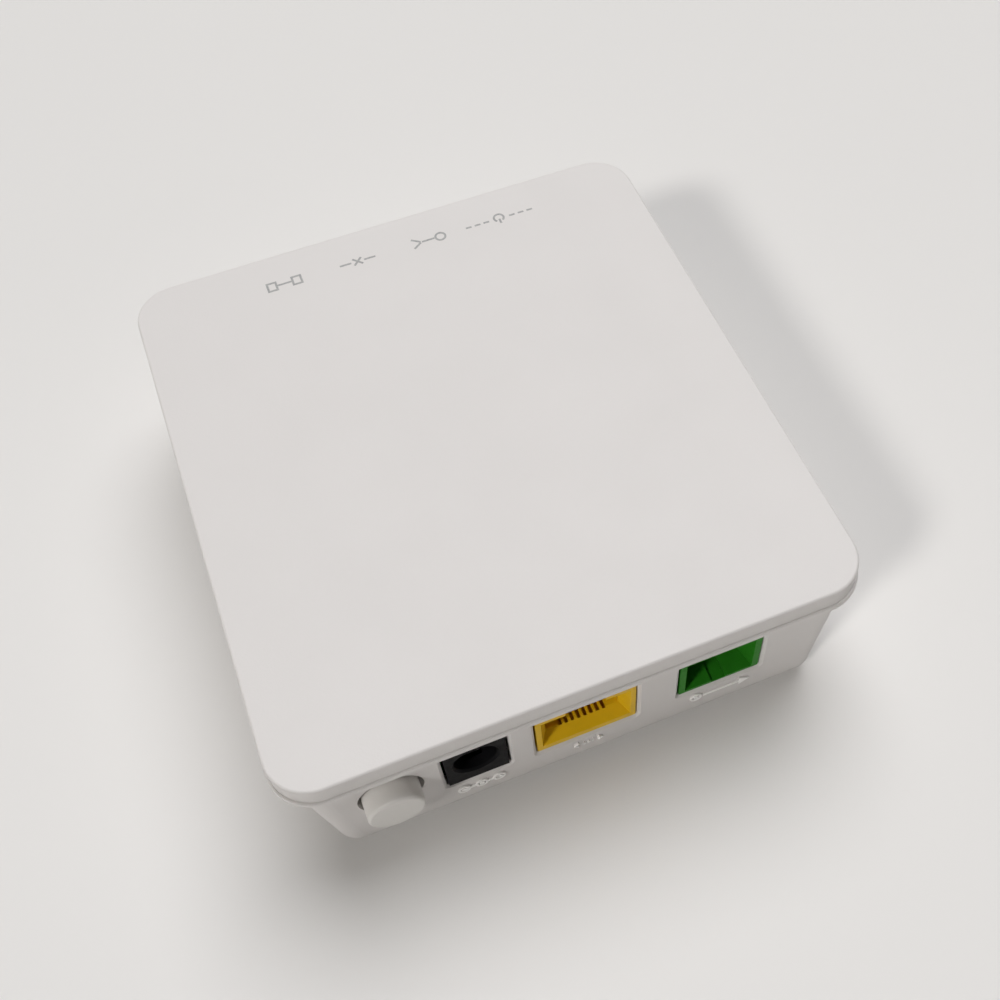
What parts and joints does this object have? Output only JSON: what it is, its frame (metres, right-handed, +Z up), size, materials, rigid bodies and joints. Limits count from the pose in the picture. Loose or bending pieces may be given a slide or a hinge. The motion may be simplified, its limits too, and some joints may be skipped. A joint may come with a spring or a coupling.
{
  "type": "optical network terminal",
  "caption": "Small square fibre network terminal with push power button, DC jack, yellow LAN jack and green optical socket on one edge.",
  "frame": {"origin": "on the ground under the middle of the whole outline, feet on the ground", "axes": "+X to the right seen from the port side, +Y from the port side to the indicator side, +Z up"},
  "size_m": [0.0908, 0.0996, 0.029],
  "materials": {
    "shell_white": "fine spark-eroded texture",
    "button_white": "smooth satin",
    "foot_rubber": "matt",
    "label_film": "blank printed film, satin",
    "screw_steel": "zinc plated",
    "board_green": "solder resist",
    "jack_black": "satin",
    "jack_yellow": "satin",
    "socket_green": "semi-gloss",
    "clip_ivory": "satin",
    "plunger_black": "satin",
    "contact_gold": "gold plated",
    "tinned_metal": "tin plated",
    "spring_steel": "drawn wire",
    "ceramic_white": "polished ceramic",
    "machined_metal": "turned and milled",
    "can_metal": "drawn can",
    "chip_black": "moulded epoxy",
    "crystal_metal": "plated lid",
    "ferrite_grey": "sintered",
    "passive_tan": "fired ceramic",
    "pad_grey": "soft gap filler",
    "sink_aluminium": "anodised, extruded",
    "led_lens": "clear epoxy, unlit",
    "light_guide_clear": "clear moulded, frosted ends"
  },
  "bodies": {
    "case": {"base_shell": "shell_white", "board_screws": "screw_steel", "case_screws": "screw_steel", "chip_passives": "passive_tan", "circuit_board": "board_green", "core_inductor": "ferrite_grey", "crystal": "crystal_metal", "dc_jack_housing": "jack_black", "dc_jack_leaf": "tinned_metal", "dc_jack_pin": "tinned_metal", "ferrule_sleeve": "ceramic_white", "fibre_stub": "ceramic_white", "flash_chip": "chip_black", "foot_front_left": "foot_rubber", "foot_front_right": "foot_rubber", "foot_rear_left": "foot_rubber", "foot_rear_right": "foot_rubber", "heat_sink": "sink_aluminium", "input_capacitor": "can_metal", "input_fuse": "passive_tan", "input_inductor": "ferrite_grey", "lan_contact_carrier": "jack_black", "lan_contacts": "contact_gold", "lan_jack_housing": "jack_yellow", "lan_transformer": "chip_black", "laser_can": "can_metal", "laser_driver": "chip_black", "laser_leads": "tinned_metal", "led_lan": "led_lens", "led_los": "led_lens", "led_pon": "led_lens", "led_power": "led_lens", "light_guide": "light_guide_clear", "main_processor": "chip_black", "memory_chip": "chip_black", "optical_latch_clip": "clip_ivory", "optical_socket": "socket_green", "output_capacitor": "can_metal", "photodiode_can": "can_metal", "photodiode_leads": "tinned_metal", "power_switch_body": "jack_black", "power_switch_pins": "tinned_metal", "power_switch_spring": "spring_steel", "rating_label": "label_film", "regulator_core": "chip_black", "regulator_input": "chip_black", "reset_switch_body": "jack_black", "shield_can": "tinned_metal", "thermal_pad": "pad_grey", "top_cover": "shell_white", "transceiver_body": "machined_metal"},
    "power_button_group": {"power_button": "button_white", "power_switch_plunger": "clip_ivory"},
    "reset_plunger_group": {"reset_plunger": "plunger_black"}
  },
  "joints": [
    {"name": "power_button_press", "type": "slide", "parent": "case", "child": "power_button_group", "axis": [0, 1, 0], "range_m": [0, 0.0022], "stiffness_N_per_m": 900, "deforming": ["power_switch_spring"]},
    {"name": "reset_press", "type": "slide", "parent": "case", "child": "reset_plunger_group", "axis": [1, 0, 0], "range_m": [0, 0.00025], "stiffness_N_per_m": 4000}
  ]
}
